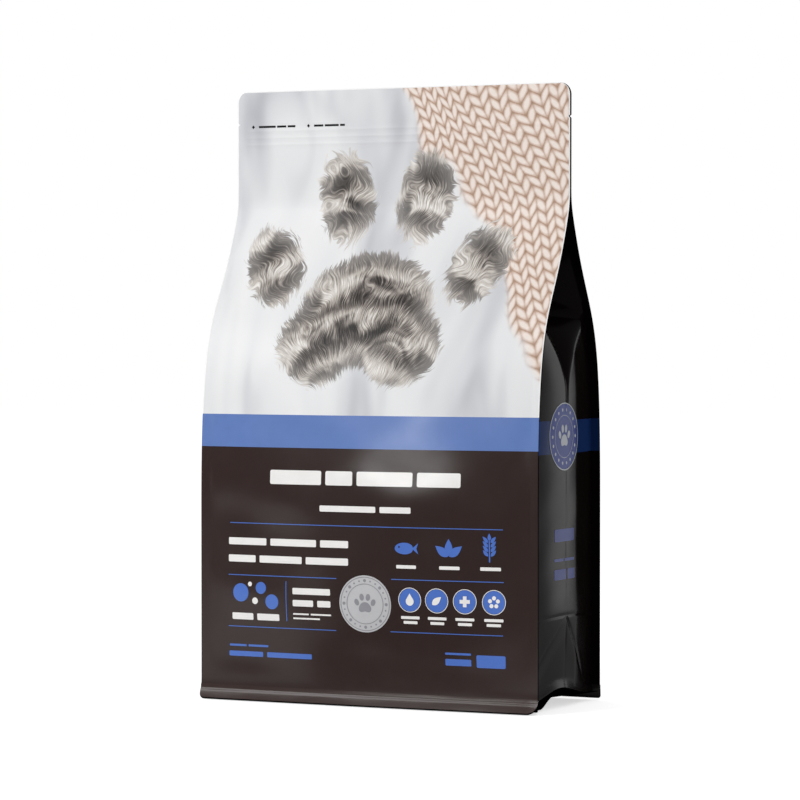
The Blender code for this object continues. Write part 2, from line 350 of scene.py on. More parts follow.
    def side_x(self, v, z):
        """Face of a side panel, measured from the middle of the bag; v runs from -1 in front to 1 behind."""
        s = self.s
        swell = s.gusset_bow * self.bulge(v) * (1 - ramp(z, s.fold_start, s.fold_end))
        foot = np.clip(1 - (z - self.seam_height) / self.flare_height, 0.0, 1.0)
        out = swell + self.side_flare * foot ** 1.4 * (1 - v ** 4) + self.side_undulation(v, z)
        return self.root_x + out - self.valley(v, z) - self.foot_creases(v, z)

    def side_z(self, v, z):
        """Height of a point of a side panel, whose lowest rings arch up towards its middle."""
        fade = np.clip(1 - (z - self.seam_height) / self.arch_fade, 0.0, 1.0)
        return z + self.arch_rise * fade * ridge(v, self.arch_centre, self.arch_spread) * (1 - v ** 8)

    def on_front(self, x, z, lift):
        """Point on the front panel, lifted off the film."""
        return Vector((x, float(self.front_y(x, z)) - lift, z))

    def on_side(self, y, z, lift):
        """Point on the right side panel, lifted off the film."""
        inner = float(self.half_depth(z)) - self.s.fin_thickness
        v = max(-1.0, min(1.0, (y - float(self.middle(z))) / inner))
        return Vector((float(self.side_x(v, z)) + lift, y, z))


def new_piece(name, points, faces, materials, indices=None, sharp=35.0):
    """Mesh object with its place in its mesh, shaded smooth but for sharp edges."""
    mesh = bpy.data.meshes.new(name)
    mesh.from_pydata([tuple(point) for point in points], [], faces)
    for material in materials:
        mesh.materials.append(material)
    if indices is not None:
        mesh.polygons.foreach_set("material_index", indices)
    mesh.validate()
    mesh.shade_smooth()
    mesh.set_sharp_from_angle(angle=math.radians(sharp))
    piece = bpy.data.objects.new(name, mesh)
    bpy.context.collection.objects.link(piece)
    return piece


def settle(piece):
    """The piece goes with the bag."""
    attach(piece, BODY)
    return piece


def inside(point, loop):
    """Whether a flat point lies in a closed loop."""
    found = False
    for (ax, ay), (bx, by) in zip(loop, loop[1:] + loop[:1]):
        if (ay > point[1]) != (by > point[1]):
            if point[0] < ax + (point[1] - ay) * (bx - ax) / (by - ay):
                found = not found
    return found


def short_steps(loop, step=2.5 * MM):
    """A closed loop with points added on its long edges."""
    made = []
    for (ax, ay), (bx, by) in zip(loop, loop[1:] + loop[:1]):
        parts = max(1, math.ceil(math.hypot(bx - ax, by - ay) / step))
        made += [(ax + (bx - ax) * k / parts, ay + (by - ay) * k / parts) for k in range(parts)]
    return made


def fill(outer, holes=(), spacing=3 * MM):
    """Triangles of a flat outline less its holes, close enough together to follow the film."""
    outer = short_steps(outer)
    holes = [short_steps(hole) for hole in holes]
    points = list(outer)
    edges = []
    for hole in holes:
        first = len(points)
        points += hole
        edges += [(first + step, first + (step + 1) % len(hole)) for step in range(len(hole))]
    low = np.min(outer, axis=0)
    high = np.max(outer, axis=0)
    for a in np.arange(low[0] + spacing / 2, high[0], spacing):
        for b in np.arange(low[1] + spacing / 2, high[1], spacing):
            if inside((a, b), outer):
                points.append((a, b))
    loop = list(range(len(outer)))
    flat = [Vector(point) for point in points]
    turn = sum(flat[a].cross(flat[b]) for a, b in zip(loop, loop[1:] + loop[:1]))
    if turn < 0:
        loop.reverse()
    made = delaunay_2d_cdt(flat, edges, [loop], 1, 1e-7)
    triangles = []
    for corners in made[2]:
        centre = sum((made[0][corner] for corner in corners), Vector((0, 0))) / len(corners)
        if not any(inside(centre, hole) for hole in holes):
            triangles.append(corners)
    return made[0], triangles


def stamp(shapes, place):
    """Points and faces of flat shapes laid on a surface; each shape is (outer, holes)."""
    points = []
    faces = []
    for outer, holes in shapes:
        flat, triangles = fill(outer, holes)
        used = sorted({corner for corners in triangles for corner in corners})
        number = {corner: len(points) + count for count, corner in enumerate(used)}
        points += [place(flat[corner][0], flat[corner][1]) for corner in used]
        faces += [[number[corner] for corner in corners] for corners in triangles]
    return points, faces


def lay(name, shapes, place, material, layer=1):
    """Make one piece of flat shapes on the film; place gives a point of the film, lifted off it."""
    thickness = 0.00010
    points, faces = stamp(shapes, lambda across, z: place(across, z, layer * thickness))
    a, b, c = (points[corner] for corner in faces[0][:3])
    outwards = place(0.0, 0.1, 1.0) - place(0.0, 0.1, 0.0)
    if (b - a).cross(c - a).dot(outwards) < 0:
        faces = [face[::-1] for face in faces]
    settle(new_piece(name, points, faces, [material]))


def bar(x0, x1, z0, z1, radius=0.6):
    """Rounded bar. Like the words, circles, discs and rings, it takes millimetres and gives metres."""
    radius = min(radius, (x1 - x0) / 2, (z1 - z0) / 2)
    loop = []
    for cx, cz, start in ((x1 - radius, z1 - radius, 0), (x0 + radius, z1 - radius, 90),
                          (x0 + radius, z0 + radius, 180), (x1 - radius, z0 + radius, 270)):
        for turn in np.radians(np.linspace(start, start + 90, 5)):
            loop.append(((cx + radius * math.cos(turn)) * MM, (cz + radius * math.sin(turn)) * MM))
    return loop, ()


def words(x, z0, z1, widths, gap=2.6, radius=0.6):
    """A line of print as bars of the given widths."""
    made = []
    for width in widths:
        made.append(bar(x, x + width, z0, z1, radius))
        x += width + gap
    return made


def circle(cx, cz, radius, steps=48):
    """Closed loop of a circle."""
    turns = np.linspace(0, 2 * np.pi, steps, endpoint=False)
    return [((cx + radius * math.cos(t)) * MM, (cz + radius * math.sin(t)) * MM) for t in turns]


def disc(cx, cz, radius, steps=48):
    """Plain disc."""
    return circle(cx, cz, radius, steps), ()


def band_ring(cx, cz, outer, inner):
    """Flat ring."""
    return circle(cx, cz, outer, 72), [circle(cx, cz, inner, 72)]


def placed(loop, cx, cz, scale=1.0, turn=0.0, holes=()):
    """A loop drawn round the origin in millimetres, turned, scaled and moved into place."""
    cosine = math.cos(math.radians(turn)) * scale
    sine = math.sin(math.radians(turn)) * scale
    return [((cx + x * cosine - z * sine) * MM, (cz + x * sine + z * cosine) * MM) for x, z in loop], holes


def leaf_loop(along=10.0, width=5.0, steps=14):
    """Pointed leaf along +X. This and the next three loops lie round the origin, in millimetres."""
    top = [(-along / 2 + along * k / steps, width / 2 * math.sin(math.pi * (k / steps) ** 0.8))
           for k in range(steps + 1)]
    return top + [(x, -z) for x, z in reversed(top[1:-1])]


def fish_loop(steps=16):
    """Plain fish, nose towards -X: an oval body and a forked tail."""
    turns = [math.pi * k / steps for k in range(steps + 1)]
    body = [(-7 + 5.5 * (1 - math.cos(t)), 3.0 * math.sin(t) + 0.5 * t / math.pi) for t in turns]
    tail = [(7.2, 3.1), (6.1, 0.0), (7.2, -3.1)]
    return body + tail + [(x, -z) for x, z in reversed(body[1:])]


def drop_loop(radius=2.4, steps=20):
    """Drop with its point up."""
    turns = np.radians(np.linspace(155, 385, steps))
    return [(radius * math.cos(t), radius * math.sin(t) - 0.6) for t in turns] + [(0.0, 2 * radius - 0.9)]


def cross_loop(reach=3.0, half=1.05):
    """Upright cross."""
    arm = [(half, -half), (reach, -half), (reach, half)]
    return [(x * c - z * s, x * s + z * c) for c, s in ((1, 0), (0, 1), (-1, 0), (0, -1)) for x, z in arm]


def rounded(loop, rounds=2):
    """Cut a loop's corners until it is round."""
    for _ in range(rounds):
        cut = []
        for (ax, ay), (bx, by) in zip(loop, loop[1:] + loop[:1]):
            cut.append((0.75 * ax + 0.25 * bx, 0.75 * ay + 0.25 * by))
            cut.append((0.25 * ax + 0.75 * bx, 0.25 * ay + 0.75 * by))
        loop = cut
    return loop


def paw_shapes(cx, cz, size):
    """Plain paw mark: one broad pad and four toes, size across."""
    unit = size / 10
    half = [(0.0, 1.1), (1.5, 0.7), (2.6, -0.6), (3.1, -2.0), (2.4, -3.3), (1.2, -3.3), (0.0, -2.9)]
    pad = half + [(-x, z) for x, z in reversed(half[1:-1])]
    toe = [(1.05 * math.cos(t), 1.5 * math.sin(t)) for t in np.radians(range(0, 360, 15))]
    made = [placed(rounded(pad), cx, cz, unit)]
    for x, z, turn in ((-3.9, 0.9, 22), (-1.5, 3.1, 8), (1.5, 3.1, -8), (3.9, 0.9, -22)):
        made.append(placed(toe, cx + x * unit, cz + z * unit, unit, turn))
    return made


def add(tree, kind, *values, **named):
    """Add a node and return its first output in use.

    A kind can end with its operation, as in Math.ADD. The values fill the node's inputs in order. Of the
    named values, those with a capital are inputs and the others are settings.
    """
    kind, _, operation = kind.partition(".")
    node = tree.nodes.new(kind if kind.startswith(("Geometry", "NodeGroup")) else "ShaderNode" + kind)
    if operation:
        node.operation = operation
    for name, value in named.items():
        if name[0].islower():
            setattr(node, name, value)
    given = list(zip([socket for socket in node.inputs if socket.enabled], values))
    given += [(node.inputs[name], value) for name, value in named.items() if name[0].isupper()]
    for socket, value in given:
        if isinstance(value, bpy.types.NodeSocket):
            tree.links.new(value, socket)
        else:
            socket.default_value = value
    return next((socket for socket in node.outputs if socket.enabled), None)


def new_material(name, roughness, specular, metallic=0.0):
    """Empty Principled material; returns the material, its tree and its shader."""
    material = bpy.data.materials.new(name)
    material.use_nodes = True
    shader = material.node_tree.nodes["Principled BSDF"]
    shader.inputs["Roughness"].default_value = roughness
    shader.inputs["Specular IOR Level"].default_value = specular
    shader.inputs["Metallic"].default_value = metallic
    return material, material.node_tree, shader


def film_surface(tree, shader, roughness):
    """Matt lacquer: a fine grain in its bump and slow clouds in its gloss; returns the place on the film."""
    grain = 0.30 * MM
    relief = 0.02 * MM
    cloud = 22 * MM
    spread = 0.015
    place = add(tree, "TexCoord").node.outputs["Object"]
    haze = add(tree, "TexNoise", place, Scale=1 / grain, Detail=2.0)
    clouds = add(tree, "TexNoise", place, Scale=1 / cloud, Detail=2.0)
    gloss = add(tree, "MapRange", clouds, 0.3, 0.7, roughness - spread, roughness + spread)
    tree.links.new(gloss, shader.inputs["Roughness"])
    bump = add(tree, "Bump", Strength=0.15, Distance=relief, Height=haze)
    tree.links.new(bump, shader.inputs["Normal"])
    return place


def plain_film(name, tint, roughness=0.22, specular=0.28):
    """Printed laminate or ink in one colour, with the faint mottle of gravure print."""
    mottle = 9 * MM
    contrast = 0.06
    material, tree, shader = new_material(name, roughness, specular)
    place = film_surface(tree, shader, roughness)
    cloud = add(tree, "TexNoise", place, Scale=1 / mottle, Detail=3.0)
    darker = tuple(c * (1 - contrast) for c in tint) + (1.0,)
    lighter = tuple(c * (1 + contrast) for c in tint) + (1.0,)
    tree.links.new(add(tree, "Mix", cloud, darker, lighter, data_type="RGBA"), shader.inputs["Base Color"])
    return material


def silver_foil(name, tint):
    """Hot-stamped matt silver, whose fine haze softens its shine."""
    haze = 0.4 * MM
    material, tree, shader = new_material(name, 0.38, 0.4, metallic=0.15)
    shader.inputs["Base Color"].default_value = (*tint, 1.0)
    place = add(tree, "TexCoord").node.outputs["Object"]
    fine = add(tree, "TexNoise", place, Scale=1 / haze, Detail=2.0)
    tree.links.new(add(tree, "MapRange", fine, 0.3, 0.7, 0.32, 0.46), shader.inputs["Roughness"])
    return material


def with_stops(colours, stops):
    """Set the stops of a colour ramp, as (place, hex) pairs, and return its output again."""
    elements = colours.node.color_ramp.elements
    while len(elements) < len(stops):
        elements.new(0.5)
    for element, (at, code) in zip(elements, stops):
        element.position = at
        element.color = (*linear(code), 1.0)
    return colours


def printed_cloth(tree, flat):
    """Pale cloth with long soft folds that lean to the left; flat is the place on the front, in mm."""
    lean = add(tree, "Mapping", flat, Rotation=(0, 0, math.radians(28)), Scale=(1 / 44, 1 / 150, 1))
    folds = add(tree, "TexNoise", lean, Scale=1.0, Detail=2.0, Distortion=0.9)
    return with_stops(add(tree, "ValToRGB", folds), ((0.28, "B2B3B9"), (0.40, "CDCED2"), (0.52, "E1E2E3"),
                                                     (0.68, "E9E9EA")))


def printed_knit(tree, flat):
    """Chunky beige knit: columns of V-shaped stitches, bent a little by the fall of the blanket."""
    column_width = 10.0
    stitch_height = 7.0
    sway = add(tree, "TexNoise", flat, Scale=1 / 60, Detail=1.0)
    across = add(tree, "VectorMath.DOT_PRODUCT", flat, (0.92, 0.38, 0))
    across = add(tree, "Math.MULTIPLY_ADD", sway, 22.0, across)
    along = add(tree, "VectorMath.DOT_PRODUCT", flat, (-0.38, 0.92, 0))
    column = add(tree, "Math.FRACT", add(tree, "Math.DIVIDE", across, column_width))
    from_middle = add(tree, "Math.ABSOLUTE", add(tree, "Math.SUBTRACT", column, 0.5))
    rise = add(tree, "Math.MULTIPLY_ADD", from_middle, 1.5, add(tree, "Math.DIVIDE", along, stitch_height))
    stitch = add(tree, "Math.ABSOLUTE", add(tree, "Math.SUBTRACT", add(tree, "Math.FRACT", rise), 0.5))
    yarn = add(tree, "Math.POWER", add(tree, "Math.MULTIPLY", stitch, 2.0), 1.7)
    yarn = add(tree, "Math.MULTIPLY_ADD", yarn, -0.80, 1.0)
    leg = add(tree, "Math.ABSOLUTE", add(tree, "Math.SUBTRACT", from_middle, 0.25))
    leg = add(tree, "Math.POWER", add(tree, "Math.MULTIPLY", leg, 4.0), 2.0)
    leg = add(tree, "Math.MULTIPLY_ADD", leg, -0.60, 1.0)
    fuzz = add(tree, "TexNoise", flat, Scale=1 / 1.6, Detail=3.0)
    tone = add(tree, "Math.MULTIPLY_ADD", fuzz, 0.30, add(tree, "Math.MULTIPLY", yarn, leg))
    return with_stops(add(tree, "ValToRGB", tone), ((0.18, "957762"), (0.42, "B89B88"), (0.66, "D6C1B4"),
                                                    (0.95, "EBDFD7")))


def printed_fur(tree, flat, source):
    """Tabby fur whose streaks run out from a point; returns its colour, its fine streaks and its tufts."""
    offset = add(tree, "VectorMath.SUBTRACT", flat, (*source, 0))
    away = add(tree, "VectorMath.LENGTH", offset)
    axes = add(tree, "SeparateXYZ", offset).node.outputs
    stray = add(tree, "TexNoise", flat, Scale=1 / 22, Detail=1.0)
    turn = add(tree, "Math.MULTIPLY_ADD", stray, 0.35, add(tree, "Math.ARCTAN2", axes["Y"], axes["X"]))
    turn = add(tree, "Math.MULTIPLY", turn, 70.0)
    polar = add(tree, "CombineXYZ", turn, add(tree, "Math.MULTIPLY", away, 0.07))
    streak = add(tree, "TexNoise", polar, Scale=1.5, Detail=5.0, Roughness=0.62)
    tuft = add(tree, "TexNoise", polar, Scale=0.40, Detail=2.0)
    patch = add(tree, "TexNoise", flat, Scale=1 / 24, Detail=2.0, Distortion=1.0)
    phase = add(tree, "Math.MULTIPLY_ADD", patch, 8.0, add(tree, "Math.MULTIPLY", away, 0.27))
    tone = add(tree, "Math.MULTIPLY_ADD", add(tree, "Math.SINE", phase), 0.13, streak)
    tone = add(tree, "Math.MULTIPLY_ADD", add(tree, "Math.SUBTRACT", patch, 0.5), 0.55, tone)
    fur = with_stops(add(tree, "ValToRGB", tone), ((0.26, "211E1D"), (0.40, "4A4542"), (0.52, "857D77"),
                                                   (0.64, "C0B9B2"), (0.80, "EDEAE6")))
    return fur, streak, tuft


def paw_edge(tree, flat, pads):
    """Distance outside the nearest pad of a paw, each pad (x, z, half width, half height, tilt)."""
    nearest = None
    for cx, cz, wide, tall, tilt in pads:
        spot = add(tree, "Mapping", flat, (cx, cz, 0), (0, 0, math.radians(tilt)), (wide, tall, 1),
                   vector_type="TEXTURE")
        reach = add(tree, "Math.SUBTRACT", add(tree, "VectorMath.LENGTH", spot), 1.0)
        outwards = add(tree, "Math.MULTIPLY", reach, min(wide, tall))
        nearest = outwards if nearest is None else add(tree, "Math.SMOOTH_MIN", nearest, outwards, 3.0)
    return nearest


def picture_film():
    """Printed picture: a paw of tabby fur on pale folded cloth, with a corner of beige knit."""
    pads = ((-8, 222, 42, 33, 0), (-34, 203, 25, 24, 0), (18, 203, 25, 24, 0), (-72, 247, 17, 25, 28),
            (-33, 286, 18, 27, 9), (17, 286, 18, 27, -9), (56, 247, 17, 25, -28))
    wrist = (-8.0, 158.0)
    material, tree, shader = new_material("matt_laminate_picture_print", 0.4, 0.18)
    place = add(tree, "VectorMath.SCALE", film_surface(tree, shader, 0.38), Scale=1 / MM)
    axes = add(tree, "SeparateXYZ", place).node.outputs
    flat = add(tree, "CombineXYZ", axes["X"], axes["Z"])
    drift = add(tree, "TexNoise", flat, Scale=1 / 40, Detail=1.0)
    corner = add(tree, "VectorMath.DOT_PRODUCT", flat, (0.95, 0.62, 0))
    corner = add(tree, "Math.MULTIPLY_ADD", drift, 40.0, corner)
    corner = add(tree, "MapRange", corner, 232.0, 240.0, interpolation_type="SMOOTHSTEP")
    ground = add(tree, "Mix", corner, printed_cloth(tree, flat), printed_knit(tree, flat), data_type="RGBA")
    fur, streak, tuft = printed_fur(tree, flat, wrist)
    outside = paw_edge(tree, flat, pads)
    tufts = add(tree, "Math.MULTIPLY", add(tree, "Math.SUBTRACT", tuft, 0.5), 9.0)
    ragged = add(tree, "Math.MULTIPLY_ADD", add(tree, "Math.SUBTRACT", streak, 0.5), 16.0, tufts)
    cover = add(tree, "MapRange", add(tree, "Math.SUBTRACT", ragged, outside), -0.8, 1.2,
                interpolation_type="SMOOTHSTEP")
    rim = add(tree, "MapRange", outside, -15.0, 2.0, interpolation_type="SMOOTHSTEP")
    pale = (*linear("D9D4CF"), 1.0)
    fur = add(tree, "Mix", add(tree, "Math.MULTIPLY", rim, 0.30), fur, pale, data_type="RGBA")
    tree.links.new(add(tree, "Mix", cover, ground, fur, data_type="RGBA"), shader.inputs["Base Color"])
    return material


def bead_tree():
    """Geometry Nodes tree of a ring of flat beads, in which one bead in so many is larger."""
    tree = bpy.data.node_groups.new("Ring of beads", "GeometryNodeTree")
    tree.interface.new_socket("Geometry", in_out="OUTPUT", socket_type="NodeSocketGeometry")
    for name, kind in (("Beads", "Int"), ("Ring radius", "Float"), ("Bead radius", "Float"),
                       ("Large one in", "Int"), ("Large scale", "Float")):
        tree.interface.new_socket(name, in_out="INPUT", socket_type="NodeSocket" + kind)
    given = add(tree, "NodeGroupInput").node.outputs
    ring = add(tree, "GeometryNodeMeshCircle", given["Beads"], given["Ring radius"])
    bead = add(tree, "GeometryNodeMeshCircle", 48, given["Bead radius"], fill_type="NGON")
    count = add(tree, "Math.MODULO", add(tree, "GeometryNodeInputIndex"), given["Large one in"])
    scale = add(tree, "MapRange", count, 0.0, 1.0, given["Large scale"], 1.0)
    beads = add(tree, "GeometryNodeInstanceOnPoints", ring, Instance=bead, Scale=scale)
    add(tree, "NodeGroupOutput", add(tree, "GeometryNodeRealizeInstances", beads))
    return tree


def bead_shapes(cx, cz, sizes):
    """Flat shapes of a ring of beads round a centre; sizes are the tree's inputs, in their order."""
    holder = bpy.data.objects.new("beads", bpy.data.meshes.new("beads"))
    bpy.context.collection.objects.link(holder)
    modifier = holder.modifiers.new("Ring of beads", "NODES")
    modifier.node_group = bpy.data.node_groups.get("Ring of beads") or bead_tree()
    inputs = [item for item in modifier.node_group.interface.items_tree if item.in_out == "INPUT"]
    for item, value in zip(inputs, sizes):
        modifier[item.identifier] = value
    mesh = bpy.data.meshes.new_from_object(holder.evaluated_get(bpy.context.evaluated_depsgraph_get()))
    places = [(cx * MM + vertex.co.x, cz * MM + vertex.co.y) for vertex in mesh.vertices]
    made = [([places[corner] for corner in face.vertices], ()) for face in mesh.polygons]
    empty = holder.data
    bpy.data.objects.remove(holder)
    bpy.data.meshes.remove(empty)
    bpy.data.meshes.remove(mesh)
    return made


def medal(cx, cz, rings, beads, paw):
    """Rings, a ring of beads and a paw, as on a round seal."""
    made = [band_ring(cx, cz, outer, inner) for outer, inner in rings]
    return made + bead_shapes(cx, cz, beads) + paw_shapes(cx, cz - 0.3, paw)


def skin_columns(pouch):
    """Places across the front film, from edge to edge, as shares of the way to the seam and to the tip."""
    count = int(round(2 * pouch.root_x / pouch.s.cell))
    inner = [2 * step / count - 1 for step in range(count + 1)]
    rim = 0.12                   # the cut edge of the front film is unprinted
    step_back = 0.09             # on the right it was cut a little inside the side film
    left = [(-1.0, -share) for share in (1.0, 1.0 - rim, 0.45, 0.06)]
    right = [(1.0, share) for share in (0.06, 0.45, 1.0 - step_back - rim, 1.0 - step_back)]
    return left + [(share, 0.0) for share in inner] + right


def skin_levels(pouch):
    """Heights of the skin's rings, closer together at the creases, the pressed lines and the top corners."""
    s = pouch.s
    closest = 0.0003
    notch = s.height - s.notch_below_top
    drop = s.side_band_drop
    fixed = (s.band_bottom, s.band_top, s.band_bottom - drop, s.band_top - drop, s.height)
    levels = [*fixed, s.mouth_start, notch - pouch.notch_height / 2, notch, notch + pouch.notch_height / 2]
    levels += list(np.arange(pouch.seam_height, s.height - s.corner_radius, s.cell))
    levels += list(np.arange(pouch.seam_height, s.crease_height, 0.65 * s.cell))
    levels += list(np.arange(s.crease_height - 1.2 * s.cell, s.crease_height + 1.25 * s.cell, 0.2 * s.cell))
    levels += list(s.height - s.corner_radius * (1 - np.sin(np.radians(np.linspace(0, 90, 9)))))
    for level in pouch.zip_levels():
        levels += list(level + pouch.zip_spread * np.linspace(-1.2, 1.2, 5))
    levels = np.unique(np.round(levels, 6))
    fixed = {round(level, 6) for level in fixed}
    kept = [levels[0]]
    for level in levels[1:]:
        if level - kept[-1] > closest:
            kept.append(level)
        elif level in fixed:
            kept[-1] = level
    return np.array(kept)


def skin_ring(pouch, z, columns, across):
    """One closed ring round the bag: front, right side, back and left side."""
    s = pouch.s
    tip = float(pouch.tip(z))
    root = min(pouch.root_x, tip - 0.6 * s.fin_width)
    width = tip - root
    xs = np.array([inner * root + outer * width for inner, outer in columns])
    middle = float(pouch.middle(z))
    hollow = float(pouch.half_depth(z)) - s.fin_thickness
    front = as_points(xs, pouch.front_y(xs, z), z)
    back = as_points(xs, pouch.back_y(xs, z), z)[::-1]
    side_x = pouch.side_x(across, z) - pouch.root_x + root
    side = as_points(side_x, middle + across * hollow, pouch.side_z(across, z))
    fin = np.array([tip, root + width / 2])
    right = np.vstack([as_points(fin, middle - hollow, z), side, as_points(fin[::-1], middle + hollow, z)])
    left = right[::-1] * np.array([-1, 1, 1])
    return np.vstack([front, right, back, left])


def sagging_rings(pouch, seam):
    """Rings of the bottom panel, which sags from its seam to the ground."""
    near, far = pouch.side_inset
    inset = near + (far - near) * ramp(seam[:, 1] / pouch.depth, *pouch.side_inset_run)
    rings = []
    for share in np.linspace(1, 0, pouch.sag_rings)[:-1]:
        narrowed = 1 - share * inset / pouch.tip_x
        rings.append(seam * as_points(narrowed, 1 - share * pouch.base_inset / pouch.depth, (1 - share) ** 2))
    return rings


def ring_faces(count, size):
    """Faces between closed rings of points, ring by ring."""
    faces = []
    for low in range(0, (count - 1) * size, size):
        high = low + size
        for here in range(size):
            after = (here + 1) % size
            faces.append((low + here, low + after, high + after, high + here))
    return faces


def close_ring(points, start, flip):
    """Faces that fill a flat closed ring of points."""
    flat = [Vector((point[0], point[1])) for point in points]
    made = delaunay_2d_cdt(flat, [], [list(range(len(flat)))], 1, 1e-7)
    faces = [[start + made[3][corner][0] for corner in corners] for corners in made[2]]
    return [face[::-1] for face in faces] if flip else faces


class POUCH_OT_film(bpy.types.Operator):
    """Make the printed skin of the pouch: front, back, gussets, fins and bottom panel"""

    bl_idname = "pouch.film"
    bl_label = "Pouch film"

    brown, blue, picture, black, side_blue, edge, bottom = range(7)
    top_edge = 0.0010              # unprinted strip along the top

    def execute(self, context):
        """Loft the skin ring by ring and give each field of print its material, and the bottom panel its
        near-black painted shade.
        """
        pouch = Pouch(context.scene.pouch_sizes)
        columns = skin_columns(pouch)
        across = np.unique(np.round([*np.linspace(-1, 1, 71), *np.linspace(-0.10, 0.10, 11)], 4))
        levels = skin_levels(pouch)
        rings = sagging_rings(pouch, skin_ring(pouch, pouch.seam_height, columns, across))
        below = len(rings)
        rings += [skin_ring(pouch, float(z), columns, across) for z in levels]
        size = len(rings[0])
        front = len(columns) - 1
        back = len(columns) + len(across) + 4
        fields = []
        for row in range(len(rings) - 1):
            for here in range(size):
                if row < below:
                    fields.append(self.bottom)
                elif here < front:
                    fields.append(self.front_field(pouch.s, levels[row - below], here in (0, front - 1)))
                else:
                    fields.append(self.other_field(pouch.s, levels[row - below], back <= here < back + front))
        foot = close_ring(rings[0], 0, True)
        mouth = close_ring(rings[-1], (len(rings) - 1) * size, False)
        fields += [self.bottom] * len(foot) + [self.black] * len(mouth)
        piece = new_piece("pouch_film", np.vstack(rings), ring_faces(len(rings), size) + foot + mouth,
                          self.materials(context.scene.pouch_colours), fields, sharp=38)
        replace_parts(settle(piece), NODE)
        return {"FINISHED"}

    def front_field(self, s, z, at_side):
        """Number of the front film's material just above a height."""
        if z >= s.band_top - 1e-6:
            return self.edge if at_side or z > s.height - self.top_edge else self.picture
        return self.blue if z > s.band_bottom - 1e-6 else self.brown

    def other_field(self, s, z, behind):
        """Number of the back's or a side's material just above a height."""
        drop = 0.0 if behind else s.side_band_drop
        banded = s.band_bottom - 1e-6 < z + drop < s.band_top - 1e-6
        if behind:
            return self.blue if banded else self.brown
        return self.side_blue if banded else self.black

    @staticmethod
    def materials(tints):
        """The fields' materials, in the order of their numbers."""
        return [
            plain_film("matt_laminate_brown_print", tints.brown),
            plain_film("matt_laminate_blue_band", tints.blue),
            picture_film(),
            plain_film("satin_laminate_black_print", tints.black, 0.15, 0.02),
            plain_film("satin_laminate_dark_blue_band", tints.side_blue, 0.15, 0.02),
            plain_film("white_polyethylene_cut_edge", tints.edge, 0.45, 0.18),
            # near-black, glossless bottom panel: painted shade under the side arches
            plain_film("bottom_film_painted_shade", tints.bottom, 0.60, 0.0),
        ]


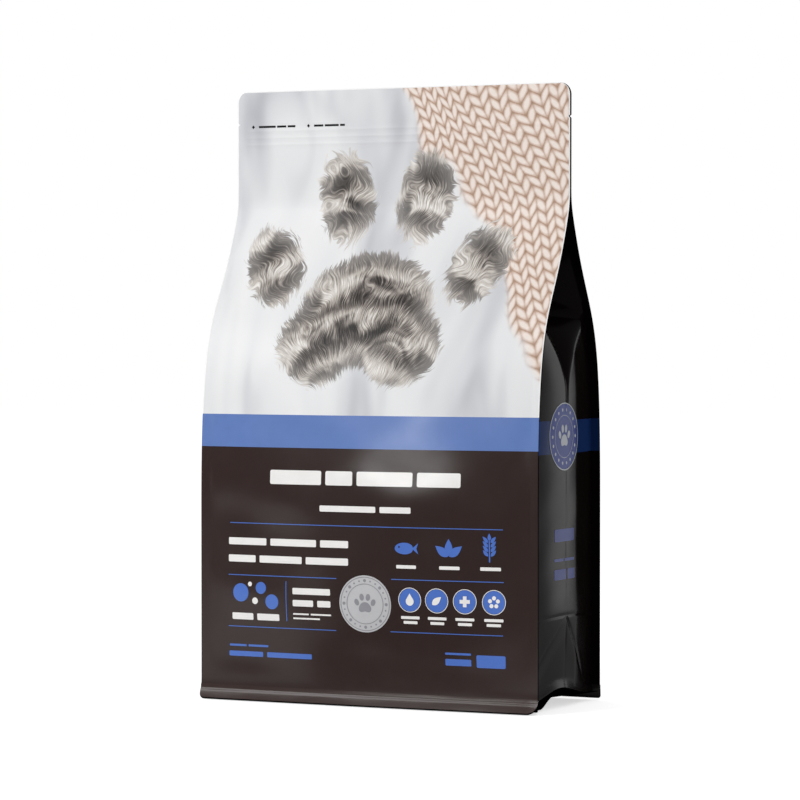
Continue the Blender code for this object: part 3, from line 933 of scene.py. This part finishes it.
class POUCH_OT_hems(bpy.types.Operator):
    """Make the welded hems at the front and back foot"""

    bl_idname = "pouch.hems"
    bl_label = "Foot hems"

    cut_edge = 0.00012             # the cut edges are this much thinner on each face

    def execute(self, context):
        """Two kinked strips with rounded lower corners and a slightly wavy foot."""
        pouch = Pouch(context.scene.pouch_sizes)
        tints = context.scene.pouch_colours
        # outer ply: the body's brown lightened, painted light on the hems
        brown = plain_film("welded_brown_hem_painted_light", tints.hem_brown_painted_light, 0.22, 0.27)
        # back hem's inner ply: black lightened to grey as painted light
        black = plain_film("welded_back_hem_painted_light", tints.hem_grey_painted_light, 0.24, 0.12)
        # inner ply, also painted as the shadow line along the hem's foot
        inner = plain_film("inner_ply_and_painted_foot_shadow", tints.hem_inner_and_foot_shadow, 0.60, 0.0)
        for name, side, radii, spread, material in (("front_hem", -1, (0.0030, 0.0062, 0.0), 1.0, inner),
                                                    ("back_hem", 1, (0.0015, 0.0015, 0.0008), 0.2, black)):
            points, faces, indices = self.strip(pouch, side, radii, spread)
            settle(new_piece(name, points, faces, [brown, material], indices, sharp=30))
        return {"FINISHED"}

    @staticmethod
    def out(pouch, x, z, spread):
        """How far the hem's face stands from the seam plane; spread scales its slope."""
        s = pouch.s
        kink = s.hem_kink
        heights = np.linspace(s.hem_height, 0, 120)
        places = (0, kink - 0.0011, kink - 0.0002, kink + 0.0001, kink + 0.0009, s.hem_height)
        slopes = np.interp(heights, places, (0.21, 0.27, 0.56, 0.56, 0.20, 0.08))
        run = np.concatenate([[0], np.cumsum((slopes[1:] + slopes[:-1]) / 2) * (heights[0] - heights[1])])
        wave = pouch.waves(0.0, x, ((0.10, 106.8, 0, 0.8), (0.07, 44.6, 0, 2.1)))
        face = np.interp(-z, -heights, run) + wave * (1 - z / s.hem_height)
        toe = 1 - (s.hem_height - pouch.seam_height) / pouch.toe_height
        return pouch.hem_proud + pouch.hem_kink_out * toe ** 2 + spread * face

    def strip(self, pouch, side, radii, spread):
        """Points, faces and materials of one hem; radii are its left and right corner and its lift."""
        s = pouch.s
        half = pouch.tip_x
        left, right, raised = radii
        turns = np.sin(np.radians(np.linspace(0, 90, 10)))[1:]
        level = np.linspace(-half + left, half - right, 120)
        xs = np.concatenate([(level[0] - left * turns)[::-1], level, level[-1] + right * turns])
        foot = left - np.sqrt(left ** 2 - np.clip(-half + left - xs, 0, left) ** 2)
        foot = raised + foot + right - np.sqrt(right ** 2 - np.clip(xs - half + right, 0, right) ** 2)
        shares = np.array([0, 0.02, 0.10, 0.18, *np.linspace(0.24, 0.50, 12), 0.60, 0.75, 0.90, 0.985, 1.0])
        shrink = np.where((shares < 0.01) | (shares > 0.99), self.cut_edge, 0.0)
        face = pouch.depth + s.foot_bow * (1 - pouch.share(xs) ** 2)
        sections = []
        for x, low, base in zip(xs, foot, face):
            z = s.hem_height - shares * (s.hem_height - low)
            out = base + self.out(pouch, x, z, spread)
            rear = side * (out - pouch.hem_thickness + shrink)
            sections.append(np.vstack([as_points(x, side * (out - shrink), z), as_points(x, rear, z)[::-1]]))
        size = len(sections[0])
        rows = len(shares)
        faces = ring_faces(len(sections), size)
        # The last strip of the outer face, the foot, the cut ends and the inner face take the second
        # material; on the outer face that strip is a painted shadow line along the foot
        indices = [0 if here < rows - 3 else 1 for here in range(size)] * (len(sections) - 1)
        for first, turned in ((0, True), ((len(sections) - 1) * size, False)):
            for here in range(rows - 1):
                quad = (first + here, first + here + 1, first + size - 2 - here, first + size - 1 - here)
                faces.append(quad[::-1] if turned else quad)
                indices.append(1)
        if side < 0:
            faces = [face[::-1] for face in faces]
        return np.vstack(sections), faces, indices


class POUCH_OT_front_print(bpy.types.Operator):
    """Lay the plain printed shapes on the front panel"""

    bl_idname = "pouch.front_print"
    bl_label = "Front print"

    seal = (2.0, 57.9)
    seal_radius = 16.0
    seal_rings = ((15.2, 14.8), (11.4, 11.0))
    seal_beads = (24, 13.1 * MM, 0.5 * MM, 3, 1.8)
    seal_paw = 13.0
    mark_places = (29.5, 45.7, 62.3, 79.3)
    mark_height = 61.0
    mark_radius = 6.4

    def execute(self, context):
        """Headings and lines as bars, small marks, rules and a round foil seal."""
        place = Pouch(context.scene.pouch_sizes).on_front
        tints = context.scene.pouch_colours
        white = plain_film("white_gravure_ink", tints.white_ink)
        blue = plain_film("blue_gravure_ink", tints.blue_ink)
        dark = plain_film("dark_gravure_ink", tints.dark_ink)
        foil = silver_foil("silver_stamping_foil", tints.silver)
        pressed = silver_foil("pressed_silver_foil", tints.dull_silver)
        figures = medal(*self.seal, self.seal_rings, self.seal_beads, self.seal_paw)
        lay("front_headings", self.headings(), place, white)
        lay("front_text_lines", self.text_lines(), place, white)
        lay("front_blue_lines", self.blue_lines(), place, blue)
        lay("front_rules", self.rules(), place, blue)
        lay("front_food_marks", self.food_marks(), place, blue)
        lay("front_round_marks", self.round_marks(), place, blue)
        lay("front_mark_figures", self.mark_figures(), place, white, layer=2)
        lay("front_seal_disc", [disc(*self.seal, self.seal_radius, 96)], place, foil)
        lay("front_seal_figures", figures, place, pressed, layer=2)
        lay("front_tear_marks", self.tear_marks(), place, dark)
        return {"FINISHED"}

    def headings(self):
        """Main heading and the line below it."""
        return words(-57.9, 123.8, 131.8, (33, 17, 34, 26), 2.7, 1.0) + words(-25.8, 109.0, 112.4, (35, 18.9))

    def text_lines(self):
        """Body lines in white."""
        made = words(-86.0, 88.8, 92.8, (25, 30, 17.8)) + words(-86.1, 79.0, 83.0, (18, 27.8, 27))
        made += words(-83.8, 46.2, 50.0, (14, 14.4))
        made += words(-43.8, 61.8, 65.4, (24,)) + words(-43.8, 55.0, 58.6, (13, 8.4))
        made += words(-43.8, 50.2, 51.1, (10, 13), 1.2, 0.3) + words(-43.8, 47.7, 48.6, (17,), 1.2, 0.3)
        for x in (21.5, 47.4, 71.4):
            made += words(x, 78.4, 80.3, (12,), radius=0.4)
        for x in self.mark_places:
            made += words(x - 5.6, 50.3, 51.9, (11.2,), radius=0.4)
            made += words(x - 4.2, 47.6, 49.2, (8.4,), radius=0.4)
        return made

    def blue_lines(self):
        """Small lines in blue at the foot of the print."""
        made = words(-86.2, 30.8, 32.0, (11, 13), 1.2, 0.4) + words(-86.6, 25.1, 28.0, (22, 29))
        made += words(49.8, 31.2, 32.4, (15.6,), radius=0.4) + words(49.8, 25.2, 28.9, (15.6,))
        return made + words(68.6, 24.6, 31.6, (17.2,), radius=0.9)

    def rules(self):
        """Thin level and upright rules."""
        half = 0.22
        level = ((-85.3, 84.9, 101.2), (-86.2, -15.5, 71.6), (18.3, 84.9, 72.2), (-86.6, -16.7, 42.2),
                 (17.1, 84.6, 42.8))
        made = [bar(x0, x1, z - half, z + half, half) for x0, x1, z in level]
        return made + [bar(-48.0 - half, -48.0 + half, 46.2, 69.0, half)]

    def food_marks(self):
        """A fish, a leaf spray and an ear of grain."""
        made = [placed(fish_loop(), 27.8, 89.6, holes=[circle(23.4, 90.4, 0.55, 12)])]
        for turn, x, z in ((38, 57.1, 88.65), (90, 53.0, 90.8), (142, 48.9, 88.65)):
            made.append(placed(leaf_loop(9.5, 4.6), x, z, turn=turn))
        stalk = 76.9
        made.append(bar(stalk - 0.4, stalk + 0.4, 83.0, 95.0, 0.4))
        for z in (88.1, 90.6, 93.1, 95.6):
            for side in (-1, 1):
                made.append(placed(leaf_loop(4.6, 2.0, 8), stalk + side * 2.3, z, turn=90 - side * 42))
        made.append(placed(leaf_loop(4.2, 2.0, 8), stalk, 97.0, turn=90))
        return made

    def round_marks(self):
        """Four small discs in a row, and a loose cluster of discs."""
        made = [disc(x, self.mark_height, self.mark_radius) for x in self.mark_places]
        return made + [disc(-64.4, 64.6, 3.4), disc(-77.8, 61.6, 5.2), disc(-57.2, 57.0, 4.2)]

    def mark_figures(self):
        """White rings round the discs and figures on them, and the cluster's small dots."""
        middle = self.mark_height
        drop, leaf, cross, dots = self.mark_places
        made = [placed(cross_loop(), cross, middle), placed(drop_loop(), drop, middle - 0.2)]
        radius = self.mark_radius
        made += [band_ring(x, middle, radius + 0.5, radius + 0.15) for x in self.mark_places]
        made.append(placed(leaf_loop(7.0, 3.6), leaf, middle, turn=40))
        for t in np.radians(range(90, 450, 72)):
            made.append(disc(dots + 2.4 * math.cos(t), middle + 2.4 * math.sin(t), 1.15))
        return made + [disc(-68.2, 57.2, 1.9), disc(-71.6, 66.6, 1.3)]

    def tear_marks(self):
        """Diamonds and fine lines beside the tear notch."""
        diamond = [(0.95, 0), (0, 1.1), (-0.95, 0), (0, -1.1)]
        made = []
        for x, widths in ((-94.6, (11, 6, 5)), (-58.7, (6, 9, 3))):
            made.append(placed(diamond, x, 328.5))
            made += words(x + 3.6, 327.9, 329.1, widths, 0.9, 0.25)
        return made


class POUCH_OT_side_print(bpy.types.Operator):
    """Lay the plain printed shapes on the right side panel"""

    bl_idname = "pouch.side_print"
    bl_label = "Side print"

    badge = (-3.6, 151.5)
    badge_radius = 18.2
    badge_rings = ((18.9, 18.3), (12.0, 11.7))
    badge_beads = (18, 15.0 * MM, 0.9 * MM, 1, 1.0)
    badge_paw = 15.0

    def execute(self, context):
        """A round blue badge over the band, and lines below it."""
        place = Pouch(context.scene.pouch_sizes).on_side
        tints = context.scene.pouch_colours
        field = plain_film("side_badge_blue_ink", tints.badge_blue, 0.15, 0.02)
        pale = plain_film("side_pale_ink", tints.badge_pale, 0.20, 0.02)
        blue = plain_film("side_line_blue_ink", tints.side_line_blue, 0.15, 0.02)
        figures = medal(*self.badge, self.badge_rings, self.badge_beads, self.badge_paw)
        lay("side_badge_field", [disc(*self.badge, self.badge_radius)], place, field)
        lay("side_badge_figure", figures, place, pale, layer=2)
        lay("side_lines", self.lines(), place, blue)
        return {"FINISHED"}

    def lines(self):
        """Lines of print below the badge."""
        made = words(-16.0, 93.0, 100.0, (26.0,), radius=1.2) + words(-16.5, 82.0, 83.6, (12, 13), 1.4, 0.5)
        return made + words(-16.5, 71.8, 77.6, (15, 10), 2.0, 0.8)


class POUCH_OT_stage(bpy.types.Operator):
    """Set the plain white stage, the lamps and the camera"""

    bl_idname = "pouch.stage"
    bl_label = "Stage"

    def execute(self, context):
        """Floor, world, lamps, dark screens for the gloss, and the camera."""
        self.floor()
        self.world(context.scene)
        self.lamps()
        self.screens()
        self.camera(context.scene)
        context.scene.view_settings.view_transform = "Standard"
        return {"FINISHED"}

    @staticmethod
    def seen(tree):
        """1 for what the camera, a gloss or a clear material sees directly."""
        path = add(tree, "LightPath").node.outputs
        direct = add(tree, "Math.MAXIMUM", path["Is Camera Ray"], path["Is Glossy Ray"])
        return add(tree, "Math.MAXIMUM", direct, path["Is Transmission Ray"])

    def floor(self):
        """White floor that goes on past the view and keeps a soft shadow."""
        half = 6.0
        drop = -0.0004
        corners = [(x * half, y * half, drop) for x, y in ((-1, -1), (1, -1), (1, 1), (-1, 1))]
        material = bpy.data.materials.new("white_painted_floor")
        material.use_nodes = True
        tree = material.node_tree
        tree.nodes.clear()
        paint = add(tree, "BsdfDiffuse", (0.80, 0.80, 0.80, 1.0))
        glow = add(tree, "Emission", (1, 1, 1, 1), 0.60)
        both = add(tree, "AddShader", paint, glow)
        add(tree, "OutputMaterial", add(tree, "MixShader", self.seen(tree), paint, both))
        new_piece("floor", corners, [(0, 1, 2, 3)], [material])

    def world(self, scene):
        """White where it is seen, and a plain soft light elsewhere."""
        world = bpy.data.worlds.new("plain_studio")
        world.use_nodes = True
        tree = world.node_tree
        tree.nodes.clear()
        white = add(tree, "Background", (1, 1, 1, 1), 1.0)
        soft = add(tree, "Background", (1, 1, 1, 1), 0.62)
        add(tree, "OutputWorld", add(tree, "MixShader", self.seen(tree), soft, white))
        scene.world = world

    def lamps(self):
        """A broad key lamp, a small one for the sheen on the front, and a tall strip for the side's."""
        for name, place, aim, size, power in (
                ("key_lamp", (-1.3, -1.9, 1.5), (0, 0, 0.17), (1.2, 1.2), 28.0),
                ("sheen_lamp", (-0.585, -1.53, 0.315), (0.02, -0.05, 0.15), (0.16, 0.16), 1.5),
                ("side_strip_lamp", (0.335, 0.444, 0.41), (0.1, 0, 0.41), (0.073, 0.8), 0.72)):
            data = bpy.data.lights.new(name, "AREA")
            data.shape = "ELLIPSE" if size[0] == size[1] else "RECTANGLE"
            data.size, data.size_y = size
            data.energy = power
            lamp = bpy.data.objects.new(name, data)
            lamp.location = place
            lamp.rotation_euler = (Vector(aim) - Vector(place)).to_track_quat("-Z", "Y").to_euler()
            bpy.context.collection.objects.link(lamp)

    def screens(self):
        """Dark cloths, seen in the film's gloss alone: behind the bag, far in front and on the floor."""
        cloth, _, shader = new_material("black_cloth_screen", 0.5, 0.0)
        shader.inputs["Base Color"].default_value = (0.0, 0.0, 0.0, 1.0)
        self.screen("rear_dark_screen", ((0.392, 0.693), (-0.30, 0.76), (-1.80, 1.10)), 3.0, cloth)
        self.screen("front_dark_screen", self.arc(-60, 65, 3.2), 4.0, cloth)
        cloth_height = 0.0005
        rear = [(0.110, 0.035), (0.30, 0.715), (-0.30, 0.76), (-0.30, 0.06)]
        for name, corners in (("rear_dark_cloth", rear),
                              ("front_dark_cloth", self.arc(-31, 12, 3.2) + self.arc(-31, 12, 0.12)[::-1]),
                              ("left_dark_cloth", self.arc(-60, -31, 3.2) + self.arc(-60, -31, 0.9)[::-1])):
            points = [(x, y, cloth_height) for x, y in corners]
            self.hide(new_piece(name, points, [list(range(len(points)))], [cloth]))

    @staticmethod
    def arc(start, end, radius):
        """Points on the floor round the bag, with angles from -Y towards +X in degrees."""
        return [(radius * math.sin(t), -radius * math.cos(t)) for t in np.radians(np.linspace(start, end, 9))]

    def screen(self, name, line, high, cloth):
        """One upright screen that follows a line on the floor."""
        corners = [(x, y, z) for x, y in line for z in (0.0, high)]
        faces = [(2 * step, 2 * step + 2, 2 * step + 3, 2 * step + 1) for step in range(len(line) - 1)]
        self.hide(new_piece(name, corners, faces, [cloth]))

    @staticmethod
    def hide(screen):
        """Leave a screen visible in gloss alone."""
        screen.visible_camera = False
        screen.visible_diffuse = False
        screen.visible_shadow = False
        screen.visible_transmission = False

    def camera(self, scene):
        """Camera in front on the right, a little above the middle of the bag."""
        turn = math.radians(25.5)
        tilt = math.radians(1.235)
        distance = 2.004
        target = Vector((-0.0002, 0.0, 0.1708))
        data = bpy.data.cameras.new("view")
        data.lens = 158.0
        data.sensor_width = 36.0
        data.clip_start = 0.05
        camera = bpy.data.objects.new("view", data)
        back = Vector((math.sin(turn) * math.cos(tilt), -math.cos(turn) * math.cos(tilt), math.sin(tilt)))
        facing = back.to_track_quat("Z", "Y").to_matrix().to_4x4()
        camera.matrix_world = Matrix.Translation(target + back * distance) @ facing
        bpy.context.collection.objects.link(camera)
        scene.camera = camera


class POUCH_PT_panel(bpy.types.Panel):
    """Sidebar panel that lists the pieces and their sizes and colours"""

    bl_idname = "POUCH_PT_panel"
    bl_label = "Pet food pouch"
    bl_space_type = "VIEW_3D"
    bl_region_type = "UI"
    bl_category = "Pouch"

    def draw(self, context):
        """List the operators, then the sizes and colours."""
        for operator in OPERATORS:
            self.layout.operator(operator.bl_idname)
        for group in (context.scene.pouch_sizes, context.scene.pouch_colours):
            box = self.layout.box()
            for name in group.__annotations__:
                box.prop(group, name, text=name.replace("_", " ").capitalize())


OPERATORS = (POUCH_OT_film, POUCH_OT_hems, POUCH_OT_front_print, POUCH_OT_side_print, POUCH_OT_stage)
CLASSES = (PouchSizes, PouchColours, *OPERATORS, POUCH_PT_panel)


def register():
    """Register the classes and hang the settings on the scene."""
    for item in CLASSES:
        bpy.utils.register_class(item)
    bpy.types.Scene.pouch_sizes = PointerProperty(type=PouchSizes)
    bpy.types.Scene.pouch_colours = PointerProperty(type=PouchColours)


def unregister():
    """Take the settings and the classes away again."""
    del bpy.types.Scene.pouch_colours
    del bpy.types.Scene.pouch_sizes
    for item in reversed(CLASSES):
        bpy.utils.unregister_class(item)


def main():
    """Build every piece in order."""
    register()
    bpy.ops.pouch.film()
    bpy.ops.pouch.hems()
    bpy.ops.pouch.front_print()
    bpy.ops.pouch.side_print()
    bpy.ops.pouch.stage()


if __name__ == "__main__":
    main()
